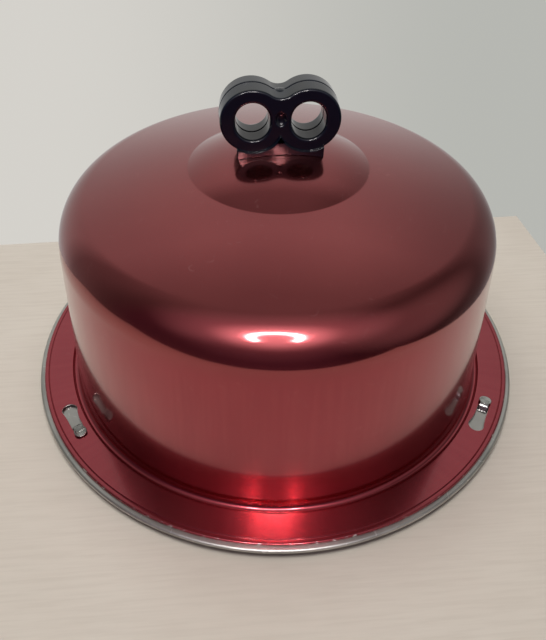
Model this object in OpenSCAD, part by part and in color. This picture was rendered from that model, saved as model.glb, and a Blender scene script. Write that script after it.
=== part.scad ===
// Domed cake carrier: a footed pan tray, a bayonet-locked cover and a two-finger handle.
// The origin is at the centre of the tray's underside, +Z up. The front is towards -Y.

/* [Tray] */
// Radius of the tray over its rolled rim
tray_r = 165.05; // [164.5:0.05:166]
// Thickness of the tray's sheet
tray_sheet = 1; // [0.8:0.1:1.2]
// Height of the flange that carries the cover's brim
flange_z = 5.2; // [4.8:0.1:5.6]
// Radius of the tray's flat floor
floor_r = 134; // [120:1:136]
// Radius of the rolled rim's section
curl_r = 1.45; // [1.2:0.05:1.6]

/* [Cover] */
// Thickness of the cover's sheet
cover_sheet = 0.9; // [0.7:0.1:1]
// Outer radius of the wall, carried down to the gutter's floor
wall_foot_r = 138.7; // [138.4:0.1:139]
// Outward lean of the wall towards its foot, in degrees
wall_lean = 4.5; // [3:0.25:6]
// Radius of the rounded shoulder between wall and roof
shoulder_r = 25; // [18:0.5:28]
// Radius of the arc that the roof follows from the crease to the shoulder
roof_arc_r = 689; // [600:1:760]
// Radius of the crease round the crowned centre
crease_r = 52.3; // [48:0.1:56]
// Height of the crease above the table
crease_z = 145.5; // [144:0.1:148]
// Slope of the roof just outside the crease, in degrees
roof_slope = 10.2; // [9:0.1:12]
// Height of the crowned centre above its crease
crown_h = 12; // [8:0.5:14]

/* [Brim] */
// Outer radius of the brim
brim_r = 161.9; // [161:0.1:162]
// Height of the brim's top face
brim_z = 7; // [6.9:0.1:7.4]
// Inner radius of the brim's flat band
band_r = 143.2; // [143:0.1:143.6]
// Depth of the gutter between the wall and the flat band
gutter_d = 1.4; // [0.8:0.1:1.6]
// Radius of the fillet between the wall and the gutter
gutter_fillet = 2.8; // [2:0.1:2.8]

/* [Bayonet] */
// Number of hooks on the tray and keyholes in the brim
hooks = 3; // [2:1:4]
// Radius of the circle the hooks stand on
hook_circle_r = 150.2; // [149.5:0.1:151]
// Direction of the first keyhole's middle, in degrees from +X
first_keyhole = -34.4; // [-44:0.05:-24]
// Width of a keyhole at its wide end
keyhole_w = 9.4; // [9.2:0.1:10]
// Width of a keyhole's slot
slot_w = 6.6; // [6.4:0.1:7]
// Length of a keyhole
keyhole_l = 22; // [21.8:0.1:22.4]
// Diameter of a hook's round head
head_d = 7.8; // [7:0.1:7.9]
// Width of a hook's neck
neck_w = 5.4; // [5:0.1:5.6]

/* [Handle] */
// Height of the finger holes' centres above the table
ring_z = 175.8; // [175:0.1:177]
// Distance of each finger hole's centre from the middle
ring_x = 15.1; // [14.8:0.1:16]
// Outer radius of each ring
ring_r = 18; // [17:0.1:18.5]
// Width of a finger hole
finger_w = 18.5; // [16:0.1:19]
// Height of a finger hole
finger_h = 20.4; // [19:0.1:21]
// Depth of the handle from front to back
handle_depth = 20.8; // [18:0.2:24]
// Depth of the handle's saddle foot from front to back
saddle_depth = 23.2; // [22:0.2:26]
// Width of the handle's saddle foot
saddle_w = 48; // [44:0.5:50]

/* [Hardware] */
// Radius of the handle screw's shank
screw_r = 2; // [1.8:0.1:2.2]
// Width of the captive nut across its flats
nut_af = 8; // [7:0.5:9]
// Radius of the washer under the crown
washer_r = 9; // [7:0.5:12]
// Radius of the cross rivet's shank
rivet_r = 1.5; // [1.2:0.1:1.8]

/* [Hidden] */
$fn = 128;

// Clearances
running = 0.08;   // radial play of the screw in the pieces that turn about it
seat = 0.02;      // gap between faces that rest on one another
eps = 0.01;       // overlap that joins the solids of one piece

// Arcs are drawn with this many steps
arc_steps = 14;

// A point at an angle a from +Y, on a circle of radius r about c
function on_arc(c, r, a) = [c[0] + r * sin(a), c[1] + r * cos(a)];
// Points along that circle from angle a0 to angle a1
function arc(c, r, a0, a1, n = arc_steps) = [
    for (i = [0 : n]) on_arc(c, r, a0 + (a1 - a0) * i / n)
];
function reversed(p) = [for (i = [len(p) - 1 : -1 : 0]) p[i]];

// The crown is a spherical cap that ends at the crease
crown_r = (crease_r * crease_r + crown_h * crown_h) / (2 * crown_h);
crown_z = crease_z + crown_h;
crown_c = [0, crown_z - crown_r];
crown_a = asin(crease_r / crown_r);
// The roof's arc starts at the crease with the roof's slope
roof_c = [crease_r - roof_arc_r * sin(roof_slope), crease_z - roof_arc_r * cos(roof_slope)];
// The shoulder touches the roof's arc from inside, and the leaning wall
wall_up = [-sin(wall_lean), cos(wall_lean)];
wall_in = [-cos(wall_lean), -sin(wall_lean)];
foot_z = brim_z - gutter_d;
shoulder_start = [wall_foot_r, foot_z] + shoulder_r * wall_in;
to_start = shoulder_start - roof_c;
along = to_start * wall_up;
reach = pow(roof_arc_r - shoulder_r, 2) - to_start * to_start;
shoulder_c = shoulder_start + wall_up * (sqrt(along * along + reach) - along);
roof_end_a = atan2(shoulder_c[0] - roof_c[0], shoulder_c[1] - roof_c[1]);

// Brim and its folded edge
hem_h = brim_z - flange_z - seat;
hem_r = hem_h / 2;
hem_in_r = 159.4;
groove_r = 159;
groove_w = 0.8;
groove_d = 0.35;
gutter_c = [
    wall_foot_r + gutter_fillet * (1 / cos(wall_lean) - tan(wall_lean)), foot_z + gutter_fillet
];
gutter_side = 1.3;  // run of the slope between the gutter's floor and the flat band
// The slope's lower face starts and ends this much further out
side_shift = cover_sheet * tan(atan2(gutter_d, gutter_side) / 2);

// Bayonet: lengths along a keyhole are measured from its wide end, on the hook circle
neck_foot = 18.6;
neck_rise = 3.3;
neck_over = 0.6;   // how far the neck's top stands above the head's middle
neck_tip = 2.4;    // length of the neck's end that runs into the head
tip_drop = 0.35;   // how far that end falls towards the head
root_l = 1;        // length of the neck's root inside the flange
root_inset = 0.05; // how far the root stays inside the flange's faces
head_mid = 25.7;
head_top = 9;
head_tilt = 9.5;
keyhole_mid = keyhole_l / 2;
taper_end = 15.5;
keyhole_steps = 10;
sheet_gap = 0.3;

// Handle
saddle_low = crown_c[1] + crown_r * cos(asin(saddle_w / 2 / crown_r)) - 2;
valley_h = 13.6;
saddle_lap = 1;     // how far the saddle reaches up over the rings' outline
valley_r = (pow(ring_r, 2) - pow(ring_x, 2) - pow(valley_h, 2)) / (2 * (valley_h - ring_r));
valley_join = 0.05;  // short straight between each ring and the valley's arc
groove_depth = 0.5;
groove_half = 0.5;
rivet_z = ring_z + 1.5;
dimple_r = 3.2;
dimple_d = 2;
rivet_head_r = 2.2;
rivet_head_h = 0.8;

// Screw, nut and washer
nut_h = 3.2;
nut_z = 162;
screw_top = 168;
washer_h = 1;
crown_inner_r = crown_r - cover_sheet;
washer_top = crown_c[1] + sqrt(pow(crown_inner_r, 2) - pow(washer_r, 2)) - seat;
screw_head_r = 4;
screw_head_h = 2.6;
slot_cut = 1.1;
bore_r = screw_r + running;

// ---- Tray ----

module tray_section() {
    curl_c = [tray_r - curl_r, flange_z - curl_r - 0.05];
    slope_r = 144.5;
    union() {
        polygon([
            [0, 0], [floor_r, 0], [slope_r, flange_z - tray_sheet],
            [curl_c[0], flange_z - tray_sheet], [curl_c[0], flange_z],
            [slope_r - 0.4, flange_z], [floor_r - 0.4, tray_sheet], [0, tray_sheet]
        ]);
        difference() {
            translate(curl_c) circle(curl_r);
            translate(curl_c) circle(curl_r / 3);
        }
    }
}

// The blank of a hook as it is cut out of the flange, along +X from its bend
module hook_blank(clear) {
    blank_l = 13.4;
    translate([-clear, -neck_w / 2 - clear])
        square([blank_l - head_d / 2 + clear, neck_w + 2 * clear]);
    translate([blank_l - head_d / 2, 0]) circle(head_d / 2 + clear);
}

// A hook's neck, from the flange up to the head, in the plane along the keyhole
module hook_neck() {
    neck_h = head_top + neck_over - flange_z;
    t = tray_sheet;
    low = flange_z - t + root_inset;
    across = t / sin(atan2(neck_h, neck_rise));
    rotate([90, 0, 0])
        linear_extrude(neck_w, center = true)
            polygon([
                [-root_l, low], [across, low], [across, flange_z - 0.2 * t],
                [across + neck_rise, flange_z + neck_h - t],
                [neck_rise + neck_tip, flange_z + neck_h - t - tip_drop],
                [neck_rise + neck_tip, flange_z + neck_h - tip_drop], [neck_rise, flange_z + neck_h],
                [0, flange_z - root_inset], [-root_l, flange_z - root_inset]
            ]);
}

module hook() {
    hook_neck();
    translate([head_mid - neck_foot, 0, head_top])
        rotate([0, head_tilt, 0])
            translate([0, 0, -tray_sheet])
                cylinder(tray_sheet, d = head_d);
}

// The hook circle, as the drawing along +X sees it: its centre lies at [0, hook_circle_r]
function circle_angle(x) = x / hook_circle_r * 180 / PI;
function bent(x, y) =
    let (a = circle_angle(x), r = hook_circle_r - y)
    [r * sin(a), hook_circle_r - r * cos(a)];

// Moves a hook's shape round the hook circle, so that its middle lies on the circle
module at_hook() {
    hook_mid = (neck_foot + head_mid) / 2;
    translate([0, hook_circle_r, 0])
        rotate(circle_angle(hook_mid - keyhole_mid))
            translate([neck_foot - hook_mid, -hook_circle_r, 0])
                children();
}

// Turns a shape drawn along +X to stand on the hook circle, once for each hook
module round_the_brim() {
    for (i = [0 : hooks - 1])
        rotate(first_keyhole + i * 360 / hooks)
            translate([hook_circle_r, 0, 0])
                rotate(90)
                    children();
}

module tray() {
    color("silver") {
        difference() {
            rotate_extrude() tray_section();
            round_the_brim() at_hook() linear_extrude(2 * flange_z) hook_blank(sheet_gap);
        }
        round_the_brim() at_hook() hook();
    }
}

// ---- Cover ----

// One face of the cover's sheet: inset 0 is its outer face, inset cover_sheet its inner face
function shell_line(inset) = concat(
    arc(crown_c, crown_r - inset, 0, crown_a),
    arc(roof_c, roof_arc_r - inset, roof_slope, roof_end_a),
    arc(shoulder_c, shoulder_r - inset, roof_end_a, 90 - wall_lean),
    arc(gutter_c, gutter_fillet + inset, 270 - wall_lean, 180, 8)
);

module cover_section() {
    outer = concat(
        shell_line(0),
        [
            [band_r - gutter_side, foot_z], [band_r, brim_z],
            [groove_r - groove_w / 2, brim_z], [groove_r, brim_z - groove_d],
            [hem_in_r, brim_z]
        ],
        arc([brim_r - hem_r, brim_z - hem_r], hem_r, 0, 180, 8)
    );
    inner = concat(
        shell_line(cover_sheet),
        [
            [band_r - gutter_side + side_shift, foot_z - cover_sheet],
            [band_r + side_shift, brim_z - cover_sheet],
            [hem_in_r, brim_z - cover_sheet], [hem_in_r, brim_z - hem_h]
        ]
    );
    polygon(concat(outer, reversed(inner)));
}

// Half the width of a keyhole at a distance x from its wide end
function keyhole_half(x) =
    let (r = keyhole_w / 2, t = (x - r) / (taper_end - r))
    x < r ? sqrt(r * r - pow(r - x, 2)) :
    t < 1 ? slot_w / 2 + (r - slot_w / 2) * pow(1 - t, 2) : slot_w / 2;

// A keyhole bends with the hook circle
module keyhole() {
    r = keyhole_w / 2;
    x = concat(
        [for (i = [1 : keyhole_steps]) r * (1 - cos(90 * i / keyhole_steps))],
        [for (i = [1 : keyhole_steps]) r + (taper_end - r) * i / keyhole_steps],
        [(taper_end + keyhole_l) / 2, keyhole_l]
    );
    far = [for (d = x) bent(d - keyhole_mid, keyhole_half(d))];
    near = [for (d = x) bent(d - keyhole_mid, -keyhole_half(d))];
    polygon(concat([bent(-keyhole_mid, 0)], far, reversed(near)));
}

module cover() {
    color("firebrick")
        difference() {
            rotate_extrude() cover_section();
            round_the_brim() linear_extrude(2 * brim_z) keyhole();
            translate([0, 0, crown_z - 5]) cylinder(10, r = bore_r);
        }
}

// ---- Handle ----

// The handle's outline in the XZ plane about the finger holes' centres, cut back by inset
module handle_outline(inset) {
    low = saddle_low - ring_z;
    for (side = [-1, 1])
        translate([side * ring_x, 0]) circle(ring_r - inset);
    difference() {
        polygon([[-ring_x, 0], [0, valley_h + valley_r], [ring_x, 0]]);
        translate([0, valley_h + valley_r]) circle(valley_r + inset - valley_join);
    }
    translate([-saddle_w / 2 + inset, low]) square([saddle_w - 2 * inset, -low]);
}

module finger_hole() {
    straight = finger_h - finger_w;
    for (end = [-1, 1])
        translate([0, end * straight / 2]) circle(d = finger_w);
    square([finger_w, straight], center = true);
}

// The front half's plain body. It lies on the parting plane y = 0 and reaches towards -Y
module half_body() {
    low = saddle_low - ring_z;
    translate([0, 0, ring_z])
        rotate([90, 0, 0]) {
            linear_extrude(groove_half + eps) handle_outline(groove_depth);
            translate([0, 0, groove_half])
                linear_extrude(handle_depth / 2 - groove_half) handle_outline(0);
            translate([-saddle_w / 2, low])
                linear_extrude(saddle_depth / 2)
                    difference() {
                        square([saddle_w, -low - ring_r / 3]);
                        for (side = [-1, 1])
                            translate([saddle_w / 2 + side * ring_x, -low]) circle(ring_r - saddle_lap);
                    }
        }
}

module handle_half() {
    nut_play = 0.1;
    difference() {
        half_body();
        for (side = [-1, 1])
            translate([side * ring_x, 1, ring_z])
                rotate([90, 0, 0]) linear_extrude(handle_depth) finger_hole();
        // the crown's seat, the screw's bore and the nut's pocket
        translate([0, 0, crown_c[1]]) sphere(crown_r + seat, $fn = 256);
        translate([0, 0, crown_z - 5]) cylinder(screw_top - crown_z + 6, r = bore_r);
        translate([0, 0, nut_z - nut_play])
            cylinder(nut_h + 2 * nut_play, d = (nut_af + 2 * nut_play) / cos(30), $fn = 6);
        // the rivet's hole and the dimple round its head
        translate([0, 1, rivet_z]) rotate([90, 0, 0]) cylinder(handle_depth, r = rivet_r);
        translate([0, -handle_depth / 2 - 1, rivet_z])
            rotate([-90, 0, 0]) cylinder(dimple_d + 1, r = dimple_r);
    }
}

module handle_front_half() {
    color("black") handle_half();
}

module handle_rear_half() {
    color("black") mirror([0, 1, 0]) handle_half();
}

module handle_rivet() {
    half_l = handle_depth / 2 - dimple_d;
    color("dimgray")
        translate([0, 0, rivet_z])
            rotate([90, 0, 0]) {
                cylinder(2 * half_l + 2 * eps, r = rivet_r, center = true);
                for (side = [0, 1])
                    mirror([0, 0, side])
                        translate([0, 0, half_l]) cylinder(rivet_head_h, r = rivet_head_r);
            }
}

module handle_nut() {
    color("goldenrod")
        translate([0, 0, nut_z])
            difference() {
                cylinder(nut_h, d = nut_af / cos(30), $fn = 6);
                translate([0, 0, -1]) cylinder(nut_h + 2, r = bore_r);
            }
}

// ---- Screw and washer, on the axis the cover turns about ----

module handle_screw() {
    head_z = washer_top - washer_h - seat;
    color("gainsboro")
        difference() {
            union() {
                translate([0, 0, head_z - screw_head_h]) cylinder(screw_head_h, r = screw_head_r);
                translate([0, 0, head_z - eps]) cylinder(screw_top - head_z, r = screw_r);
            }
            translate([-screw_head_r - 1, -slot_cut / 2, head_z - screw_head_h - 1])
                cube([2 * screw_head_r + 2, slot_cut, 1 + slot_cut]);
        }
}

module screw_washer() {
    color("gainsboro")
        translate([0, 0, washer_top - washer_h])
            difference() {
                cylinder(washer_h, r = washer_r);
                translate([0, 0, -1]) cylinder(washer_h + 2, r = bore_r + 0.1);
            }
}

tray();
cover();
handle_front_half();
handle_rear_half();
handle_rivet();
handle_nut();
handle_screw();
screw_washer();
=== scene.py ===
"""Looks of the domed cake carrier: red anodised cover, bare metal tray and black two-finger handle.

Sizes are in millimetres and follow the CAD part; mm() turns them into metres.
"""

import math

import bmesh
import bpy
import numpy as np
from mathutils import Matrix, Vector
from mathutils.geometry import delaunay_2d_cdt


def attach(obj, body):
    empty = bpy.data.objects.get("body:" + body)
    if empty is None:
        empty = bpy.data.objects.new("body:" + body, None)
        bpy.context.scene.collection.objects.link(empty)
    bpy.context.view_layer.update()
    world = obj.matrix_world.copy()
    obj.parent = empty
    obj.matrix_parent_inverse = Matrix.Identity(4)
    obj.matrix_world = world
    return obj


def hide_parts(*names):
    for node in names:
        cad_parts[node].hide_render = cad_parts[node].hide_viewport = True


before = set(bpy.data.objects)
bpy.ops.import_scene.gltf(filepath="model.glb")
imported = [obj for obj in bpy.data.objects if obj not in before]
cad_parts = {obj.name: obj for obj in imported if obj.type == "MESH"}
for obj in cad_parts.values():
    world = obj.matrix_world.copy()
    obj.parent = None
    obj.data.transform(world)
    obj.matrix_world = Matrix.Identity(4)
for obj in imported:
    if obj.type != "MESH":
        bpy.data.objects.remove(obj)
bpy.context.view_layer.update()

MM = 0.001
AROUND = 384            # steps round a turned piece
MERGE = 2e-6            # metres: points closer than this become one

# ---- Sizes ----

# Tray
TRAY_R, TRAY_SHEET, FLANGE_Z = 165.04, 1.0, 5.2
FLOOR_R, SLOPE_R, CURL_R = 134.0, 144.5, 1.45

# Cover
SHEET = 0.9
WALL_FOOT_R, WALL_LEAN, SHOULDER_R = 138.7, 4.5, 25.0
ROOF_R, ROOF_SLOPE = 689.0, 10.2
CREASE_R, CREASE_Z, CROWN_H = 52.3, 145.5, 12.0

# Brim
BRIM_R, BRIM_Z, BAND_R = 161.9, 7.0, 143.2
GUTTER_D, GUTTER_FILLET, GUTTER_SIDE = 1.4, 2.8, 1.3
HEM_IN_R, GROOVE_R, SEAT = 159.4, 159.0, 0.02

# Bayonet: lengths along a keyhole are measured from its wide end, on the hook circle
HOOKS, HOOK_CIRCLE, FIRST_KEYHOLE = 3, 150.2, -34.4
KEY_W, SLOT_W, KEY_L, TAPER_END = 9.4, 6.6, 22.0, 15.5
NECK_FOOT, NECK_W, HEAD_MID, HEAD_D = 18.6, 5.4, 25.7, 7.8
HEAD_TOP, HEAD_TILT, HEAD_DISH = 9.0, 9.5, 0.45
# The riser starts this far along the neck, which keeps it inside the keyhole at the unlocked stop
RISER_FOOT, RISER_SLOPE = 0.6, 66.0
LOW_BEND, TOP_BEND = 1.2, 3.2

# Handle
RING_Z, RING_X, RING_R = 175.8, 15.1, 18.0
HANDLE_DEPTH, SADDLE_DEPTH, SADDLE_W = 20.8, 23.2, 48.0
FINGER_W, FINGER_H = 18.1, 20.2

# Camera: it looks from VIEW_TURN degrees round the axis from the handle's front
VIEW_TURN = -5.5
CAMERA_BACK, CAMERA_UP = 329.3, 328.8
CAMERA_YAW, CAMERA_PITCH, CAMERA_ROLL = -0.36, 42.97, -0.70
CAMERA_LENS, SENSOR = 35.65, 36.0


def mm(*values):
    return tuple(v * MM for v in values)


# ---- Paths in the plane ----

def arc(centre, radius, a0, a1, steps):
    """Points on a circle, with angles in degrees from +Y towards +X."""
    angles = np.radians(np.linspace(a0, a1, steps + 1))
    return [(centre[0] + radius * math.sin(a), centre[1] + radius * math.cos(a)) for a in angles]


def rounded(points, steps=6):
    """A path whose corners (x, y, radius) are turned into arcs; a radius of 0 keeps the corner."""
    out = []
    for i, point in enumerate(points):
        radius = point[2] if len(point) > 2 else 0
        here = np.array(point[:2], float)
        if radius == 0 or i in (0, len(points) - 1):
            out.append(tuple(here))
            continue
        back = np.array(points[i - 1][:2], float) - here
        ahead = np.array(points[i + 1][:2], float) - here
        room = 0.49 * min(np.linalg.norm(back), np.linalg.norm(ahead))
        back /= np.linalg.norm(back)
        ahead /= np.linalg.norm(ahead)
        half = 0.5 * math.acos(max(-1.0, min(1.0, float(back @ ahead))))
        if half > 0.499 * math.pi:
            out.append(tuple(here))
            continue
        reach = min(radius / math.tan(half), room)
        radius = reach * math.tan(half)
        centre = here + (back + ahead) / np.linalg.norm(back + ahead) * radius / math.sin(half)
        start, end = here + back * reach - centre, here + ahead * reach - centre
        turn = math.atan2(start[0] * end[1] - start[1] * end[0], float(start @ end))
        for k in range(steps + 1):
            c, s = math.cos(turn * k / steps), math.sin(turn * k / steps)
            out.append((centre[0] + c * start[0] - s * start[1], centre[1] + s * start[0] + c * start[1]))
    return out


def grown(loop, distance):
    """A closed loop, run clockwise, moved outwards by a distance."""
    p = np.array(loop)
    ahead, back = np.roll(p, -1, 0) - p, p - np.roll(p, 1, 0)
    unit = [v / np.linalg.norm(v, axis=1)[:, None] for v in (ahead, back)]
    normal = [np.stack([-v[:, 1], v[:, 0]], 1) for v in unit]
    mean = normal[0] + normal[1]
    mean /= np.linalg.norm(mean, axis=1)[:, None]
    stretch = np.clip(np.sum(mean * normal[0], axis=1), 0.6, 1)[:, None]
    return p + mean * distance / stretch


# ---- Meshes ----

class Shape:
    """Points in millimetres and faces, collected for one piece."""

    def __init__(self):
        self.points, self.faces, self.slots = [], [], []

    def add(self, points, faces, slot=0):
        base = len(self.points)
        self.points.extend(tuple(map(float, p)) for p in points)
        self.faces.extend(tuple(base + i for i in f) for f in faces)
        self.slots.extend([slot] * len(faces))

    def turned(self, path, slot=0, around=AROUND, place=None):
        """The surface a path (r, z) sweeps about the Z axis."""
        points, rings = [], []
        angles = [2 * math.pi * k / around for k in range(around)]
        for r, z in path:
            rings.append((len(points), 1 if r < 1e-6 else around))
            if r < 1e-6:
                points.append((0, 0, z))
            else:
                points.extend((r * math.cos(a), r * math.sin(a), z) for a in angles)
        faces = []
        for (a, na), (b, nb) in zip(rings, rings[1:]):
            for k in range(around):
                m = (k + 1) % around
                if na == 1 and nb == 1:
                    continue
                if na == 1:
                    faces.append((a, b + m, b + k))
                elif nb == 1:
                    faces.append((a + k, a + m, b))
                else:
                    faces.append((a + k, a + m, b + m, b + k))
        if place is not None:
            points = [place @ Vector(p) for p in points]
        self.add(points, faces, slot)

    def bridge(self, loops, slots):
        """Bands of faces between successive closed loops of 3-D points."""
        for i, slot in enumerate(slots):
            a, b = loops[i], loops[i + 1]
            n = len(a)
            self.add(list(a) + list(b), [(k, (k + 1) % n, n + (k + 1) % n, n + k) for k in range(n)], slot)

    def swept(self, sections, slot=0):
        """A solid through closed sections, with flat ends."""
        n = len(sections[0])
        points = [p for s in sections for p in s]
        faces = [tuple(range(n)), tuple(range(len(points) - n, len(points)))]
        for i in range(len(sections) - 1):
            here, ahead = i * n, (i + 1) * n
            faces += [(here + k, here + (k + 1) % n, ahead + (k + 1) % n, ahead + k) for k in range(n)]
        self.add(points, faces, slot)

    def flat_ring(self, r0, r1, z, holes, slot=0, around=AROUND):
        """A flat ring at height z between two radii, with holes given as closed loops (x, y)."""
        loops = [[(r * math.cos(2 * math.pi * k / around), r * math.sin(2 * math.pi * k / around))
                  for k in range(around)] for r in (r0, r1)] + [list(map(tuple, h)) for h in holes]
        points, edges = [], []
        for loop in loops:
            base, n = len(points), len(loop)
            points += [Vector(p) for p in loop]
            edges += [(base + k, base + (k + 1) % n) for k in range(n)]
        out, _, triangles, _, _, _ = delaunay_2d_cdt(points, edges, [], 0, 1e-7)
        out = np.array([tuple(p) for p in out])
        triangles = np.array(triangles)
        mid = out[triangles].mean(axis=1)
        step = 2 * math.pi / around
        keep = np.hypot(mid[:, 0], mid[:, 1]) > r0 * math.cos(step / 2)
        for h in holes:
            keep &= ~inside(mid, np.array(h))
        self.add([(x, y, z) for x, y in out], [tuple(t) for t in triangles[keep]], slot)

    def build(self, name, body, materials, replaces=(), sharp=35):
        mesh = bpy.data.meshes.new(name)
        mesh.from_pydata([mm(*p) for p in self.points], [], self.faces)
        mesh.polygons.foreach_set("material_index", self.slots)
        bm = bmesh.new()
        bm.from_mesh(mesh)
        bmesh.ops.remove_doubles(bm, verts=bm.verts, dist=MERGE)
        bmesh.ops.delete(bm, geom=[v for v in bm.verts if not v.link_faces], context="VERTS")
        bmesh.ops.recalc_face_normals(bm, faces=bm.faces)
        bm.to_mesh(mesh)
        bm.free()
        mesh.polygons.foreach_set("use_smooth", [True] * len(mesh.polygons))
        mesh.set_sharp_from_angle(angle=math.radians(sharp))
        for m in materials:
            mesh.materials.append(m)
        piece = bpy.data.objects.new(name, mesh)
        bpy.context.scene.collection.objects.link(piece)
        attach(piece, body)
        if replaces:
            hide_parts(*replaces)
        return piece


def inside(points, loop):
    """Which points lie inside a closed loop."""
    hit = np.zeros(len(points), bool)
    x, y = points[:, 0], points[:, 1]
    for (x0, y0), (x1, y1) in zip(loop, np.roll(loop, -1, 0)):
        crosses = (y0 > y) != (y1 > y)
        if y1 != y0:
            hit ^= crosses & (x < (x1 - x0) * (y - y0) / (y1 - y0) + x0)
    return hit


def round_the_brim():
    """For each hook, the turn from a drawing along +X to its place on the hook circle."""
    for i in range(HOOKS):
        turn = Matrix.Rotation(math.radians(FIRST_KEYHOLE + i * 360 / HOOKS), 4, "Z")
        yield turn @ Matrix.Translation((HOOK_CIRCLE, 0, 0)) @ Matrix.Rotation(math.radians(90), 4, "Z")


def at_hook():
    """The move of a hook's drawing, with its bend at the origin, round the hook circle to its place."""
    mid = (NECK_FOOT + HEAD_MID) / 2
    turn = Matrix.Rotation((mid - KEY_L / 2) / HOOK_CIRCLE, 4, "Z")
    return (Matrix.Translation((0, HOOK_CIRCLE, 0)) @ turn
            @ Matrix.Translation((NECK_FOOT - mid, -HOOK_CIRCLE, 0)))


def bent(x, y):
    """A point drawn along +X, bent with the hook circle."""
    r, a = HOOK_CIRCLE - y, x / HOOK_CIRCLE
    return r * math.sin(a), HOOK_CIRCLE - r * math.cos(a)


def placed(place, loop, z=0.0):
    return [tuple(place @ Vector((x, y, z))) for x, y in loop]


# ---- Node materials ----

class Look:
    """The nodes of a material or a world, written as expressions."""

    def __init__(self, name, kind="materials"):
        self.owner = getattr(bpy.data, kind).new(name)
        self.owner.use_nodes = True
        self.tree = self.owner.node_tree
        self.tree.nodes.clear()
        self.at = self.node("ShaderNodeTexCoord").outputs["Object"]

    def node(self, kind, inputs=None, **props):
        n = self.tree.nodes.new(kind)
        for key, value in props.items():
            setattr(n, key, value)
        for key, value in (inputs or {}).items():
            if isinstance(value, bpy.types.NodeSocket):
                self.tree.links.new(value, n.inputs[key])
            elif value is not None:
                n.inputs[key].default_value = value
        return n

    def math(self, operation, a, b=None, c=None, clamp=False):
        return self.node("ShaderNodeMath", {0: a, 1: b, 2: c}, operation=operation,
                         use_clamp=clamp).outputs[0]

    def scaled(self, vector, factors):
        return self.node("ShaderNodeMapping", {"Vector": vector, "Scale": factors}).outputs[0]

    def noise(self, vector, scale, detail=2.0, rough=0.5):
        return self.node("ShaderNodeTexNoise", {"Vector": vector, "Scale": scale, "Detail": detail,
                                                "Roughness": rough}).outputs["Fac"]

    def step(self, value, low, high, to_low=0.0, to_high=1.0):
        """A smooth ramp of a value."""
        return self.node("ShaderNodeMapRange", {"Value": value, "From Min": low, "From Max": high,
                                                "To Min": to_low, "To Max": to_high},
                         interpolation_type="SMOOTHSTEP").outputs[0]

    def mix(self, factor, a, b):
        return self.node("ShaderNodeMix", {"Factor": factor, "A": a, "B": b}).outputs["Result"]

    def mix_colour(self, factor, a, b, blend="MIX"):
        n = self.node("ShaderNodeMix", data_type="RGBA", blend_type=blend)
        for index, value in ((0, factor), (6, a), (7, b)):
            if isinstance(value, bpy.types.NodeSocket):
                self.tree.links.new(value, n.inputs[index])
            else:
                n.inputs[index].default_value = value
        return n.outputs[2]

    def turned_at(self):
        """Radius, height and angle of the point about the Z axis, in millimetres and radians."""
        n = self.node("ShaderNodeSeparateXYZ", {0: self.at})
        x, y, z = (self.math("MULTIPLY", n.outputs[i], 1000.0) for i in range(3))
        r = self.math("SQRT", self.math("ADD", self.math("MULTIPLY", x, x), self.math("MULTIPLY", y, y)))
        return r, z, self.math("ARCTAN2", y, x)

    def vector(self, x, y, z):
        return self.node("ShaderNodeCombineXYZ", {0: x, 1: y, 2: z}).outputs[0]

    def scratches(self, seed, families, width, share):
        """A mask of fine, short, curling scratches: broken contour lines of noise."""
        rng = np.random.default_rng(seed)
        total = None
        for _ in range(families):
            shift = tuple(rng.uniform(-9, 9, 3))
            place = self.node("ShaderNodeMapping", {"Vector": self.at, "Location": shift}).outputs[0]
            wave = self.noise(place, 48.0, 1.0, 0.4)
            line = self.step(self.math("ABSOLUTE", self.math("SUBTRACT", wave, 0.5)), width, 0.3 * width)
            part = self.step(self.noise(place, 170.0, 1.0, 0.4), share, share + 0.03)
            mask = self.math("MULTIPLY", line, part)
            total = mask if total is None else self.math("MAXIMUM", total, mask)
        return total

    def specks(self, size, share, scale):
        """A mask of small round specks, some large and some small."""
        cells = self.node("ShaderNodeTexVoronoi", {"Vector": self.at, "Scale": scale}, feature="F1")
        pick = self.node("ShaderNodeSeparateColor", {0: cells.outputs["Color"]})
        chosen = self.math("GREATER_THAN", pick.outputs[0], 1 - share)
        reach = self.math("MULTIPLY", self.math("MULTIPLY", pick.outputs[1], pick.outputs[1]), size)
        near = self.math("LESS_THAN", cells.outputs["Distance"], self.math("MULTIPLY", reach, scale * MM))
        return self.math("MULTIPLY", chosen, near)

    def bump(self, height, distance, strength=1.0, normal=None):
        return self.node("ShaderNodeBump", {"Height": height, "Distance": distance, "Strength": strength,
                                            "Normal": normal}).outputs[0]

    def finish(self, shader, output="ShaderNodeOutputMaterial"):
        self.node(output, {"Surface": shader})
        return self.owner


def principled(look, **inputs):
    named = {key.replace("_", " "): value for key, value in inputs.items()}
    return look.node("ShaderNodeBsdfPrincipled", named).outputs[0]


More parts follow.
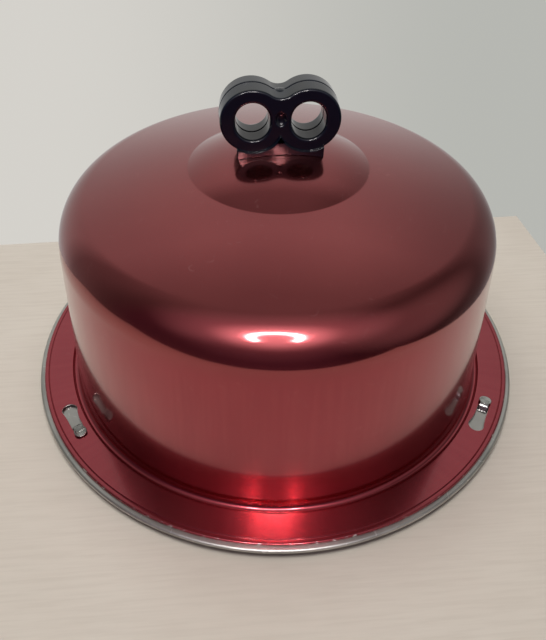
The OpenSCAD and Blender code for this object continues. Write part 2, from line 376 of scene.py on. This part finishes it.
def red_anodised():
    look = Look("red_anodised")
    r, z, turn = look.turned_at()
    wall = look.step(z, 106.0, 96.0)
    # fine turning marks run round the axis; they vary with radius on the roof and with height on the wall
    marks = look.noise(look.vector(look.math("MULTIPLY", r, 1.3), look.math("MULTIPLY", z, 1.3),
                                   look.math("MULTIPLY", turn, 1.5)), 1.0, 3.0, 0.6)
    broad = look.noise(look.scaled(look.at, (14, 14, 9)), 1.0, 3.0, 0.55)
    painted_reflection_streaks = look.noise(look.vector(look.math("MULTIPLY", turn, 38.0), look.math("MULTIPLY", z, 0.012), 0.0),
                         1.0, 3.0, 0.6)
    scratch = look.scratches(11, 3, 0.004, 0.65)
    speck = look.specks(0.36, 0.22, 95.0)
    on_dome = look.step(z, 20.0, 60.0, 0.25, 1.0)
    wear = look.math("MULTIPLY", on_dome, look.math("MAXIMUM", look.math("MULTIPLY", scratch, 0.14), speck))
    nick_noise = look.noise(look.scaled(look.at, (260, 260, 260)), 1.0, 2.0, 0.5)
    edge = look.math("MULTIPLY", look.step(r, 161.1, 161.7), look.step(nick_noise, 0.58, 0.66))
    roof = look.mix_colour(look.step(broad, 0.3, 0.7), (0.315, 0.055, 0.058, 1), (0.345, 0.063, 0.064, 1))
    side = look.mix_colour(look.step(broad, 0.3, 0.7), (0.345, 0.040, 0.055, 1), (0.375, 0.046, 0.062, 1))
    tint = look.mix_colour(look.step(z, 118.0, 100.0), roof, side)
    # painted reflection: the wall is made lighter red in vertical streaks that stand in for reflections of
    # the table's grain
    tint = look.mix_colour(look.math("MULTIPLY", wall, look.step(painted_reflection_streaks, 0.35, 0.75, 0.0, 0.25)), tint,
                           (0.46, 0.085, 0.095, 1))
    colour = look.mix_colour(wear, tint, (0.85, 0.42, 0.42, 1))
    colour = look.mix_colour(edge, colour, (0.80, 0.72, 0.70, 1))
    rough = look.math("ADD", look.mix(wall, 0.115, 0.15),
                      look.math("MULTIPLY", look.step(marks, 0.3, 0.7), 0.03))
    rough = look.math("ADD", rough, look.math("MULTIPLY", wear, 0.25), clamp=True)
    normal = look.bump(marks, 0.00012, 0.05)
    normal = look.bump(look.noise(look.scaled(look.at, (45, 45, 45)), 1.0, 1.0, 0.4), 0.0004, 0.03, normal)
    tangent = look.node("ShaderNodeTangent", direction_type="RADIAL", axis="Z").outputs[0]
    sharp = principled(look, Base_Color=colour, Metallic=1.0, Roughness=rough, Normal=normal, Tangent=tangent,
                       Anisotropic=look.math("MULTIPLY", wall, 0.55), Anisotropic_Rotation=0.25,
                       Coat_Weight=look.math("MULTIPLY", look.math("SUBTRACT", 1.0, edge), 0.9),
                       Coat_Roughness=0.07, Coat_IOR=1.5)
    hazy = principled(look, Base_Color=colour, Metallic=1.0, Roughness=0.42, Normal=normal)
    both = look.node("ShaderNodeMixShader", {0: 0.16, 1: sharp, 2: hazy}).outputs[0]
    return look.finish(both)


def bare_aluminium(name, colour, rough):
    look = Look(name)
    r, z, turn = look.turned_at()
    marks = look.noise(look.vector(look.math("MULTIPLY", r, 2.2), look.math("MULTIPLY", z, 2.2),
                                   look.math("MULTIPLY", turn, 2.0)), 1.0, 3.0, 0.6)
    stain = look.noise(look.scaled(look.at, (30, 30, 30)), 1.0, 3.0, 0.6)
    scratch = look.scratches(5, 3, 0.006, 0.6)
    dark = tuple(c * 0.72 for c in colour) + (1,)
    tint = look.mix_colour(look.step(stain, 0.35, 0.7), colour + (1,), dark)
    tint = look.mix_colour(look.math("MULTIPLY", scratch, 0.5), tint, (0.85, 0.85, 0.83, 1))
    roughness = look.math("ADD", rough, look.math("MULTIPLY", marks, 0.14))
    normal = look.bump(marks, 0.0002, 0.12)
    tangent = look.node("ShaderNodeTangent", direction_type="RADIAL", axis="Z").outputs[0]
    return look.finish(principled(look, Base_Color=tint, Metallic=1.0, Roughness=roughness, Normal=normal,
                                  Tangent=tangent, Anisotropic=0.4, Anisotropic_Rotation=0.25))


def black_moulding():
    look = Look("black_moulding")
    cloud = look.noise(look.scaled(look.at, (90, 90, 90)), 1.0, 3.0, 0.6)
    dust = look.specks(0.3, 0.18, 260.0)
    scratch = look.scratches(23, 2, 0.004, 0.66)
    facing_out = look.node("ShaderNodeNewGeometry").outputs["Normal"]
    up = look.node("ShaderNodeSeparateXYZ", {0: facing_out}).outputs[2]
    # painted light: upward faces are made lighter grey in patches as a painted sheen of the overhead light,
    # and the other faces navy as a painted reflection of the dark room
    painted_top_sheen = look.math("MULTIPLY", look.step(up, 0.2, 0.95), look.step(cloud, 0.2, 0.8, 0.6, 1.0))
    colour = look.mix_colour(painted_top_sheen, (0.0045, 0.012, 0.030, 1), (0.012, 0.014, 0.015, 1))
    colour = look.mix_colour(look.math("MAXIMUM", dust, look.math("MULTIPLY", scratch, 0.4)), colour,
                             (0.16, 0.15, 0.16, 1))
    rough = look.math("ADD", look.step(cloud, 0.3, 0.7, 0.07, 0.13), look.math("MULTIPLY", scratch, 0.2))
    normal = look.bump(look.noise(look.scaled(look.at, (150, 150, 150)), 1.0, 2.0, 0.5), 0.0002, 0.04)
    return look.finish(principled(look, Base_Color=colour, Roughness=rough, IOR=1.44, Normal=normal,
                                  Coat_Weight=0.2, Coat_Roughness=0.03))


def plain_metal(name, colour, rough):
    look = Look(name)
    grain = look.noise(look.scaled(look.at, (700, 700, 120)), 1.0, 3.0, 0.6)
    tint = look.mix_colour(look.step(grain, 0.3, 0.7), colour + (1,), tuple(c * 0.75 for c in colour) + (1,))
    roughness = look.math("ADD", rough, look.math("MULTIPLY", grain, 0.15))
    return look.finish(principled(look, Base_Color=tint, Metallic=1.0, Roughness=roughness,
                                  Normal=look.bump(grain, 0.0001, 0.2)))


RED = red_anodised()
BARE = bare_aluminium("bare_aluminium", (0.60, 0.60, 0.56), 0.3)
CUT_EDGE = bare_aluminium("cut_edge", (0.80, 0.76, 0.73), 0.18)
HOOK_METAL = bare_aluminium("hook_metal", (0.50, 0.51, 0.48), 0.2)
BLACK = black_moulding()
STEEL = plain_metal("plated_steel", (0.62, 0.62, 0.60), 0.25)
DARK_STEEL = plain_metal("blackened_steel", (0.04, 0.04, 0.045), 0.3)
BRASS = plain_metal("nut_brass", (0.72, 0.55, 0.27), 0.22)

# ---- Cover ----

crown_r = (CREASE_R ** 2 + CROWN_H ** 2) / (2 * CROWN_H)
crown_c = (0.0, CREASE_Z + CROWN_H - crown_r)
crown_a = math.degrees(math.asin(CREASE_R / crown_r))
roof_c = (CREASE_R - ROOF_R * math.sin(math.radians(ROOF_SLOPE)),
          CREASE_Z - ROOF_R * math.cos(math.radians(ROOF_SLOPE)))
lean = math.radians(WALL_LEAN)
wall_up, wall_in = np.array([-math.sin(lean), math.cos(lean)]), np.array([-math.cos(lean), -math.sin(lean)])
foot_z = BRIM_Z - GUTTER_D
wall_foot = np.array([WALL_FOOT_R, foot_z])
gutter_c = (WALL_FOOT_R + GUTTER_FILLET * (1 / math.cos(lean) - math.tan(lean)), foot_z + GUTTER_FILLET)
side_shift = SHEET * math.tan(math.atan2(GUTTER_D, GUTTER_SIDE) / 2)
from_roof = wall_foot + SHOULDER_R * wall_in - np.array(roof_c)
along_wall = float(from_roof @ wall_up)
climb = math.sqrt(along_wall ** 2 + (ROOF_R - SHOULDER_R) ** 2 - float(from_roof @ from_roof)) - along_wall
shoulder_c = wall_foot + SHOULDER_R * wall_in + wall_up * climb
roof_end = math.degrees(math.atan2(shoulder_c[0] - roof_c[0], shoulder_c[1] - roof_c[1]))
hem_h = BRIM_Z - FLANGE_Z - SEAT
hem_r = hem_h / 2


def dome_line(inset):
    """One face of the cover's sheet, from the top down to the gutter's floor."""
    crown = arc(crown_c, crown_r - inset, 0, crown_a, 34)
    roof = arc(roof_c, ROOF_R - inset, ROOF_SLOPE, roof_end, 30)
    shoulder = arc(shoulder_c, SHOULDER_R - inset, roof_end, 90 - WALL_LEAN, 48)
    crease = tuple((np.array(crown[-1]) + np.array(roof[0])) / 2) + (3.5,)
    fillet = arc(gutter_c, GUTTER_FILLET + inset, 270 - WALL_LEAN, 180, 20)
    top, foot = np.array(shoulder[-1]), np.array(fillet[0])
    wall = [tuple(top + (foot - top) * k / 24) for k in range(1, 24)]
    return rounded(crown[:-1] + [crease] + roof[1:] + shoulder[1:] + wall + fillet, 6)


def keyhole_half(x):
    r = KEY_W / 2
    if x < r:
        return math.sqrt(max(r * r - (r - x) ** 2, 0))
    t = (x - r) / (TAPER_END - r)
    return SLOT_W / 2 + (r - SLOT_W / 2) * (1 - t) ** 2 if t < 1 else SLOT_W / 2


def mirrored_loop(side):
    """A closed clockwise loop from its upper side, which runs from left to right on the axis."""
    return side + [(x, -y) for x, y in side[-2:0:-1]]


def keyhole_loop():
    r, corner = KEY_W / 2, 0.9
    side = [(r * (1 - math.cos(a)), r * math.sin(a)) for a in np.linspace(0, math.pi / 2, 13)]
    side += [(x, keyhole_half(x)) for x in np.linspace(r, TAPER_END, 16)[1:]]
    side += rounded([(TAPER_END, SLOT_W / 2), (KEY_L, SLOT_W / 2, corner), (KEY_L, 0)])[1:]
    return [bent(x - KEY_L / 2, y) for x, y in mirrored_loop(side)]


def cut_through(shape, loops, z_top, z_bottom, edge_slot, lip=0.16):
    """The walls of holes through a sheet, with the sheet's faces turned slightly into each hole."""
    rims = [(3 * lip, z_top), (2 * lip, z_top), (lip, z_top - 0.1 * lip), (0.3 * lip, z_top - 0.35 * lip),
            (0, z_top - lip), (0, z_bottom + lip), (0.5 * lip, z_bottom), (3 * lip, z_bottom)]
    slots = [0, 0, edge_slot, edge_slot, edge_slot, edge_slot, 0]
    outer = []
    for place, loop in loops:
        drawn = [placed(place, grown(loop, d), z) for d, z in rims]
        shape.bridge(drawn, slots)
        outer.append([p[:2] for p in drawn[0]])
    return outer


def build_cover():
    shape = Shape()
    outer, inner = dome_line(0), dome_line(SHEET)
    floor_end = BAND_R - GUTTER_SIDE
    band_in, band_out = BAND_R + 1.5, GROOVE_R - 1.0
    top = rounded(outer[-2:] + [(floor_end, foot_z, 0.4), (BAND_R, BRIM_Z, 0.6), (band_in - 0.3, BRIM_Z),
                                (band_in, BRIM_Z)])
    shape.turned(outer[:-1] + top[1:])
    groove_w, groove_d = 0.5, 0.55
    edge = rounded([(band_out, BRIM_Z), (GROOVE_R - 0.6, BRIM_Z), (GROOVE_R - groove_w, BRIM_Z, 0.25),
                    (GROOVE_R - 0.08, BRIM_Z - groove_d, 0.15), (HEM_IN_R - 0.05, BRIM_Z - 0.05, 0.35)])
    edge += arc((BRIM_R - hem_r, BRIM_Z - hem_r), hem_r, 0, 180, 14)
    edge += [(HEM_IN_R + 0.2, BRIM_Z - hem_h), (HEM_IN_R, BRIM_Z - hem_h + 0.2), (HEM_IN_R, BRIM_Z - SHEET)]
    edge += [(GROOVE_R - 0.6, BRIM_Z - SHEET), (band_out, BRIM_Z - SHEET)]
    shape.turned(edge)
    under = rounded(inner[-2:] + [(floor_end + side_shift, foot_z - SHEET, 0.4),
                                  (BAND_R + side_shift, BRIM_Z - SHEET, 0.4), (band_in, BRIM_Z - SHEET)])
    shape.turned(inner[:-1] + under[1:])
    loops = [(place, keyhole_loop()) for place in round_the_brim()]
    holes = cut_through(shape, loops, BRIM_Z, BRIM_Z - SHEET, 1)
    for z in (BRIM_Z, BRIM_Z - SHEET):
        shape.flat_ring(band_in, band_out, z, holes)
    return shape.build("cover_dome", "cover", [RED, CUT_EDGE], ["cover"])


# ---- Tray ----

def hook_blank():
    """The outline of the opening that a hook leaves in the flange, along +X from its bend."""
    clear, length = 0.3, 13.4
    r = HEAD_D / 2 + clear
    half = NECK_W / 2 + clear
    mid = length - HEAD_D / 2
    start = math.asin(half / r)
    side = [(-clear, 0), (-clear, half / 2)]
    side += rounded([(-clear, half / 2), (-clear, half, 0.4), (2.0, half)])[1:]
    side += [(mid - r * math.cos(a), r * math.sin(a)) for a in np.linspace(start, math.pi, 14)]
    side[-1] = (mid + r, 0)
    return mirrored_loop(side)


def add_hook(shape, place):
    t = TRAY_SHEET
    low = FLANGE_Z - t / 2
    head = np.array([HEAD_MID - NECK_FOOT, HEAD_TOP - t / 2])
    tilt = math.radians(HEAD_TILT)
    fall, climb = math.tan(tilt), math.tan(math.radians(RISER_SLOPE))
    bend_x = (head[1] + fall * head[0] - low + RISER_FOOT * climb) / (climb + fall)
    bend = (bend_x, low + climb * (bend_x - RISER_FOOT), TOP_BEND)
    line = rounded([(-1.4, low), (RISER_FOOT, low, LOW_BEND), bend, tuple(head)], 10)
    corner = 0.22
    w, h = NECK_W / 2, t / 2
    corners = [(x, y, corner) for x, y in ((w, h), (w, -h), (-w, -h), (-w, h))]
    section = rounded([(0, h)] + corners + [(0, h)], 4)[:-1]
    sections = []
    for i, (x, z) in enumerate(line):
        a, b = np.array(line[max(i - 1, 0)]), np.array(line[min(i + 1, len(line) - 1)])
        ahead = (b - a) / np.linalg.norm(b - a)
        across = np.array([-ahead[1], ahead[0]])
        sections.append([tuple(place @ Vector((x + n * across[0], y, z + n * across[1])))
                         for y, n in section])
    shape.swept(sections, 1)
    r, dish = HEAD_D / 2, HEAD_DISH
    disc = [(0, t / 2 - dish), (1.2, t / 2 - 0.86 * dish), (2.2, t / 2 - 0.5 * dish)]
    disc.append((3.0, t / 2 - 0.12 * dish))
    disc += rounded([(3.2, t / 2), (r, t / 2, 0.3), (r, -t / 2, 0.3), (3.0, -t / 2)], 5)
    disc += [(2.2, -t / 2 - 0.4 * dish), (1.2, -t / 2 - 0.8 * dish), (0, -t / 2 - dish)]
    at = Matrix.Translation((head[0], 0, head[1])) @ Matrix.Rotation(tilt, 4, "Y")
    shape.turned(disc, 1, 64, place @ at)


def build_tray():
    shape = Shape()
    t = TRAY_SHEET
    curl = (TRAY_R - CURL_R, FLANGE_Z - CURL_R)
    band_in, band_out = SLOPE_R + 0.8, 161.0
    top = [(0, t), (FLOOR_R / 2, t), (FLOOR_R - 6, t), (FLOOR_R - 0.4, t, 3.0),
           (SLOPE_R - 0.4, FLANGE_Z, 2.0), (band_in - 0.2, FLANGE_Z), (band_in, FLANGE_Z)]
    shape.turned(rounded(top))
    rim = [(band_out, FLANGE_Z), (band_out + 0.3, FLANGE_Z)] + arc(curl, CURL_R, 0, 284, 44)
    rim += [(band_out + 0.6, FLANGE_Z - t), (band_out + 0.3, FLANGE_Z - t), (band_out, FLANGE_Z - t)]
    shape.turned(rim)
    under = [(band_in, FLANGE_Z - t), (band_in - 0.2, FLANGE_Z - t), (SLOPE_R, FLANGE_Z - t, 2.0),
             (FLOOR_R, 0, 3.0), (FLOOR_R - 6, 0), (FLOOR_R / 2, 0), (0, 0)]
    shape.turned(rounded(under))
    places = [place @ at_hook() for place in round_the_brim()]
    loops = [(place, hook_blank()) for place in places]
    holes = cut_through(shape, loops, FLANGE_Z, FLANGE_Z - t, 1, 0.06)
    for z in (FLANGE_Z, FLANGE_Z - t):
        shape.flat_ring(band_in, band_out, z, holes)
    for place in places:
        add_hook(shape, place)
    return shape.build("tray_pan", "tray", [BARE, HOOK_METAL], ["tray"])


# ---- Handle ----

def smooth_min(a, b, k):
    h = np.maximum(k - np.abs(a - b), 0) / k
    return np.minimum(a, b) - h * h * k / 4


def smooth_max(a, b, k):
    return -smooth_min(-a, -b, k)


def pushed(outline, depth, radius):
    """A prism of a 2-D outline with rounded edges, from signed distances."""
    qx, qy = outline + radius, depth + radius
    return np.minimum(np.maximum(qx, qy), 0) + np.hypot(np.maximum(qx, 0), np.maximum(qy, 0)) - radius


VALLEY_H = 13.3
valley_r = (RING_R ** 2 - RING_X ** 2 - VALLEY_H ** 2) / (2 * (VALLEY_H - RING_R))
valley_c = VALLEY_H + valley_r


def handle_half(x, y, z):
    """Signed distance to the front half; z is measured from the finger holes' centres."""
    ax, ay = np.abs(x), np.abs(y)
    ring_d = np.hypot(ax - RING_X, z)
    valley_d = np.hypot(x, z - valley_c)
    wedge = (ax < (valley_c - z) * RING_X / valley_c) & (z < valley_c)
    filler = np.where(wedge, np.maximum(valley_r - valley_d, -z - 6), 50.0)
    body = np.minimum(ring_d - RING_R, filler)
    foot = np.maximum(ax - SADDLE_W / 2, z)
    outline = smooth_min(body, foot, 0.9)
    hole = np.hypot(ax - RING_X, np.maximum(np.abs(z) - (FINGER_H - FINGER_W) / 2, 0)) - FINGER_W / 2
    draft = 0.045 * ay
    solid = pushed(outline + draft, ay - HANDLE_DEPTH / 2, 1.2)
    solid = smooth_max(solid, -(hole - 0.6 * draft), 1.7)
    lap = np.maximum(np.maximum(ax - SADDLE_W / 2, RING_R - 1.0 - ring_d), z + 7.0)
    skirt = pushed(lap, (ay - SADDLE_DEPTH / 2 + 0.12 * (-z - 18)) * 0.993, 0.3)
    solid = np.minimum(solid, skirt)
    dimple = np.sqrt((x / 2.9) ** 2 + ((ay - HANDLE_DEPTH / 2 - 0.35) / 1.9) ** 2 + ((z - 1.3) / 3.9) ** 2)
    solid = smooth_max(solid, (1 - dimple) * 1.9, 0.5)
    # the parting groove, then the oval boss that closes it in the dip
    edge = np.maximum(outline, -hole)
    solid = smooth_max(solid, (edge + 0.7 - ay) * 0.7071, 0.35)
    boss = (np.sqrt((x / 4.3) ** 2 + (y / 3.5) ** 2 + ((z - VALLEY_H + 1.4) / 2.1) ** 2) - 1) * 2.1
    solid = np.minimum(smooth_max(solid, -boss - 0.8, 0.2), boss)
    # seat on the crown, nut pocket and screw bore
    crown = crown_r + SEAT - np.sqrt(x * x + y * y + (z + RING_Z - crown_c[1]) ** 2)
    solid = np.maximum(solid, crown)
    hexagon = np.maximum(ax, np.maximum(np.abs(0.5 * ax + 0.866 * ay), np.abs(0.5 * ax - 0.866 * ay))) - 4.1
    pocket = np.maximum(hexagon, np.abs(z + RING_Z - 163.6) - 1.7)
    bore = np.maximum(np.hypot(x, y) - 2.1, z + RING_Z - 169)
    solid = np.maximum(solid, -np.minimum(pocket, bore))
    return np.maximum(solid, y + 0.01)


def net_mesh(field, low, high, h):
    """The surface where a field is zero: one point in each crossed cell, drawn onto the surface."""
    axes = [np.arange(a, b + h, h) for a, b in zip(low, high)]
    values = field(*np.meshgrid(*axes, indexing="ij"))
    solid = values < 0
    shape = tuple(n - 1 for n in values.shape)
    total, count = np.zeros(shape + (3,)), np.zeros(shape)
    index = np.indices(values.shape, sparse=True)
    crossings = []
    for axis in range(3):
        a = [slice(None)] * 3
        b = [slice(None)] * 3
        a[axis], b[axis] = slice(0, -1), slice(1, None)
        v0, v1 = values[tuple(a)], values[tuple(b)]
        cross = (v0 < 0) != (v1 < 0)
        share = np.where(cross, v0 / np.where(cross, v0 - v1, 1), 0)
        crossings.append((cross, v0 < 0))
        others = [k for k in range(3) if k != axis]
        for shift in ((0, 0), (0, 1), (1, 0), (1, 1)):
            cut = [slice(None)] * 3
            for k, s in zip(others, shift):
                cut[k] = slice(s, values.shape[k] - 1 + s)
            c = cross[tuple(cut)]
            count += c
            for k in range(3):
                place = index[k]
                start = [0, 0, 0]
                for o, s in zip(others, shift):
                    start[o] = s
                part = np.arange(shape[k]) + start[k]
                form = [1, 1, 1]
                form[k] = shape[k]
                value = part.reshape(form) + (share[tuple(cut)] if k == axis else 0)
                total[..., k] += c * value
    active = count > 0
    number = np.full(shape, -1)
    number[active] = np.arange(int(active.sum()))
    points = total[active] / count[active][:, None] * h + np.array([ax[0] for ax in axes])
    faces = []
    for axis in range(3):
        cross, first_solid = crossings[axis]
        u, v = [(1, 2), (2, 0), (0, 1)][axis]
        where = np.argwhere(cross)
        ok = (where[:, u] > 0) & (where[:, v] > 0) & (where[:, u] < shape[u]) & (where[:, v] < shape[v])
        where = where[ok]
        corners = []
        for du, dv in ((-1, -1), (0, -1), (0, 0), (-1, 0)):
            cell = where.copy()
            cell[:, u] += du
            cell[:, v] += dv
            corners.append(number[tuple(cell.T)])
        quads = np.stack(corners, 1)
        flip = ~first_solid[tuple(where.T)]
        quads[flip] = quads[flip][:, ::-1]
        faces.append(quads)
    for _ in range(4):
        value = field(*points.T)
        slope = np.stack([(field(*(points + e).T) - field(*(points - e).T)) / 0.02
                          for e in np.eye(3) * 0.01], 1)
        move = value[:, None] * slope / np.maximum(np.sum(slope * slope, 1), 0.25)[:, None]
        far = np.linalg.norm(move, axis=1)
        move *= np.minimum(1, 0.5 * h / np.maximum(far, 1e-9))[:, None]
        points = points - move
    return points, np.concatenate(faces)


def build_handle():
    step = 0.32
    points, faces = net_mesh(handle_half, (-34, -12.4, -23), (34, 0.6, 19), step)
    points = points + np.array([0, 0, RING_Z])
    halves = (("handle_front", "handle_front_half", 1), ("handle_rear", "handle_rear_half", -1))
    for name, node, side in halves:
        shape = Shape()
        shape.add(points * np.array([1, side, 1]), [tuple(map(int, f[::side])) for f in faces])
        shape.build(name, "cover", [BLACK], [node], 60)


def build_rivet():
    reach = HANDLE_DEPTH / 2 - 2.4
    shape = Shape()
    half = rounded([(0, reach + 0.5), (1.4, reach + 0.4, 0.3), (1.9, reach, 0.2), (1.5, reach - 0.3),
                    (1.5, 0)])
    path = half + [(r, -z) for r, z in half[-2::-1]]
    lay = Matrix.Translation((0, 0, RING_Z + 1.5)) @ Matrix.Rotation(math.radians(90), 4, "X")
    shape.turned(path, 0, 48, lay)
    shape.build("cross_rivet", "cover", [DARK_STEEL], ["handle_rivet"])


build_cover()
build_tray()
build_handle()
build_rivet()
for node, material in (("handle_nut", BRASS), ("handle_screw", STEEL), ("screw_washer", STEEL)):
    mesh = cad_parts[node].data
    mesh.materials.clear()
    mesh.materials.append(material)

# ---- Stage: table, room, lights and camera ----

def stage_mesh(name, points, faces, material):
    mesh = bpy.data.meshes.new(name)
    mesh.from_pydata([mm(*p) for p in points], [], faces)
    mesh.materials.append(material)
    piece = bpy.data.objects.new(name, mesh)
    bpy.context.scene.collection.objects.link(piece)
    return piece


def table_look():
    look = Look("table_top")
    cloud = look.noise(look.scaled(look.at, (6, 6, 6)), 1.0, 4.0, 0.6)
    grain = look.noise(look.scaled(look.at, (25, 420, 1)), 1.0, 4.0, 0.6)
    colour = look.mix_colour(look.step(cloud, 0.3, 0.7), (0.60, 0.555, 0.485, 1), (0.64, 0.60, 0.53, 1))
    colour = look.mix_colour(look.step(grain, 0.35, 0.75, 0.0, 0.5), colour, (0.53, 0.485, 0.42, 1))
    return look.finish(principled(look, Base_Color=colour, Roughness=0.55))


def facing(x, y, z):
    """A point given as the camera faces it, in the part's own frame."""
    return tuple(Matrix.Rotation(math.radians(VIEW_TURN), 3, "Z") @ Vector((x, y, z)))


def table():
    """The table top is turned a little, and its front edge lies just before the camera."""
    corners = [(222, 171), (292, -268), (-900, -447), (-900, 31)]
    thick = 26
    points = [facing(x, y, z) for z in (0, -thick) for x, y in corners]
    faces = [(3, 2, 1, 0), (4, 5, 6, 7)] + [(k, (k + 1) % 4, 4 + (k + 1) % 4, 4 + k) for k in range(4)]
    stage_mesh("table", points, faces, table_look())


def room():
    """Pale behind, dark before the table, dimmer at both sides, with one soft patch to the front right.

    The camera itself sees a pale wall with painted shade, darker towards the right.
    """
    look = Look("room", "worlds")
    at = look.node("ShaderNodeTexCoord").outputs["Generated"]
    at = look.node("ShaderNodeVectorRotate", {"Vector": at, "Angle": math.radians(-VIEW_TURN)},
                   rotation_type="Z_AXIS").outputs[0]
    x, y, _ = look.node("ShaderNodeSeparateXYZ", {0: at}).outputs
    dusk, pale = (0.10, 0.050, 0.080), (1.0, 0.985, 0.96)
    stops = [(-1.0, dusk, 1.0), (-0.35, dusk, 1.1), (-0.1, pale, 0.14), (0.15, pale, 0.26),
             (0.35, pale, 0.31), (0.54, pale, 0.65), (0.9, pale, 0.60)]
    ramp = look.node("ShaderNodeValToRGB", {0: look.math("MULTIPLY_ADD", y, 0.5, 0.5)})
    while len(ramp.color_ramp.elements) < len(stops):
        ramp.color_ramp.elements.new(0.5)
    for element, (level, colour, value) in zip(ramp.color_ramp.elements, stops):
        element.position = (level + 1) / 2
        element.color = tuple(value * c for c in colour) + (1,)
    sides = look.math("MULTIPLY", look.step(x, 0.15, 0.75, 1.0, 0.33), look.step(x, -0.15, -0.7, 1.0, 0.72))
    patch = look.node("ShaderNodeVectorMath", {0: at, 1: (0.88, -0.36, 0.32)}, operation="DOT_PRODUCT")
    patch = look.step(patch.outputs["Value"], 0.72, 1.0, 0.0, 0.24)
    lit = look.node("ShaderNodeAddShader", {
        0: look.node("ShaderNodeBackground", {0: ramp.outputs[0], 1: sides}).outputs[0],
        1: look.node("ShaderNodeBackground", {0: pale + (1,), 1: patch}).outputs[0]}).outputs[0]
    # painted shade: the wall the camera sees darkens from left to right
    wall = look.mix_colour(look.step(x, -0.35, 0.3), (0.66, 0.64, 0.60, 1), (0.47, 0.475, 0.445, 1))
    seen = look.node("ShaderNodeBackground", {0: wall}).outputs[0]
    camera_ray = look.node("ShaderNodeLightPath").outputs["Is Camera Ray"]
    both = look.node("ShaderNodeMixShader", {0: camera_ray, 1: lit, 2: seen}).outputs[0]
    bpy.context.scene.world = look.finish(both, "ShaderNodeOutputWorld")


def soft_light(name, at, size, energy):
    lamp = bpy.data.lights.new(name, "AREA")
    lamp.shape, lamp.size, lamp.energy = "DISK", size, energy
    lamp.color = (1.0, 0.975, 0.94)
    piece = bpy.data.objects.new(name, lamp)
    bpy.context.scene.collection.objects.link(piece)
    piece.location = at = Vector(facing(*at))
    piece.rotation_euler = (Vector((0, 0, 0.05)) - at).to_track_quat("-Z", "Y").to_euler()
    piece.visible_glossy = False
    piece.visible_camera = False


def camera_axes():
    yaw, pitch, roll = (math.radians(a) for a in (CAMERA_YAW, CAMERA_PITCH, CAMERA_ROLL))
    ahead = Vector((math.sin(yaw) * math.cos(pitch), math.cos(yaw) * math.cos(pitch), -math.sin(pitch)))
    right = Vector((math.cos(yaw), -math.sin(yaw), 0))
    down = ahead.cross(right)
    right, down = (math.cos(roll) * right + math.sin(roll) * down,
                   -math.sin(roll) * right + math.cos(roll) * down)
    return Matrix.Rotation(math.radians(VIEW_TURN), 3, "Z") @ Matrix((right, -down, -ahead)).transposed()


def camera():
    lens = bpy.data.cameras.new("camera")
    lens.lens, lens.sensor_width = CAMERA_LENS, SENSOR
    lens.clip_start, lens.clip_end = 0.01, 20
    view = bpy.data.objects.new("camera", lens)
    bpy.context.scene.collection.objects.link(view)
    view.matrix_world = Matrix.Translation(mm(*facing(0, -CAMERA_BACK, CAMERA_UP))) @ camera_axes().to_4x4()
    bpy.context.scene.camera = view
    return view


def ring_light():
    """A ring of light round the camera, open at the bottom, and a soft glow that fades below it.

    Only reflections show them.
    """
    inner, outer, opening, steps, reach = 49.0, 75.0, 50.0, 60, 520.0
    look = Look("ring_light")
    glow = look.node("ShaderNodeEmission", {"Color": (1.0, 0.95, 0.93, 1), "Strength": 27.0}).outputs[0]
    angles = [math.radians(-90 + opening + (360 - 2 * opening) * k / steps) for k in range(steps + 1)]
    axes, at = camera_axes(), Vector(facing(0, -CAMERA_BACK, CAMERA_UP))

    def card(name, points, faces, material):
        ring = stage_mesh(name, [tuple(at + axes @ Vector(p)) for p in points], faces, material)
        ring.visible_camera = ring.visible_diffuse = ring.visible_shadow = False

    points = [(r * math.cos(a), r * math.sin(a), 0) for a in angles for r in (inner, outer)]
    faces = [(2 * k, 2 * k + 1, 2 * k + 3, 2 * k + 2) for k in range(steps)]
    card("ring_light", points, faces, look.finish(glow))

    look = Look("ring_glow")
    away = look.node("ShaderNodeVectorMath", {0: look.at, 1: tuple(MM * c for c in at)}, operation="DISTANCE")
    distance = away.outputs["Value"]
    near = look.step(distance, 0.200, 0.060, 0.0, 1.45)
    wide = look.step(distance, reach * MM, 0.100, 0.0, 0.42)
    height = look.node("ShaderNodeVectorMath", {0: look.at, 1: tuple(axes @ Vector((0, 1, 0)))},
                       operation="DOT_PRODUCT").outputs["Value"]
    level = MM * float(at @ (axes @ Vector((0, 1, 0))))
    fade = look.step(height, level - 0.20, level, 0.2, 1.0)
    strength = look.math("MULTIPLY", look.math("ADD", near, wide), fade)
    shine = look.node("ShaderNodeEmission", {"Color": (1.0, 0.93, 1.0, 1), "Strength": strength}).outputs[0]
    clear = look.node("ShaderNodeBsdfTransparent").outputs[0]
    both = look.node("ShaderNodeAddShader", {0: shine, 1: clear}).outputs[0]
    points = [(reach * math.cos(2 * math.pi * k / 48), reach * math.sin(2 * math.pi * k / 48), -1.0)
              for k in range(48)]
    card("ring_glow", points, [tuple(range(48))], look.finish(both))


table()
room()
camera()
ring_light()
soft_light("ceiling_light", (-0.13, 0.1, 1.5), 1.3, 20.3)
bpy.context.scene.view_settings.view_transform = "Standard"
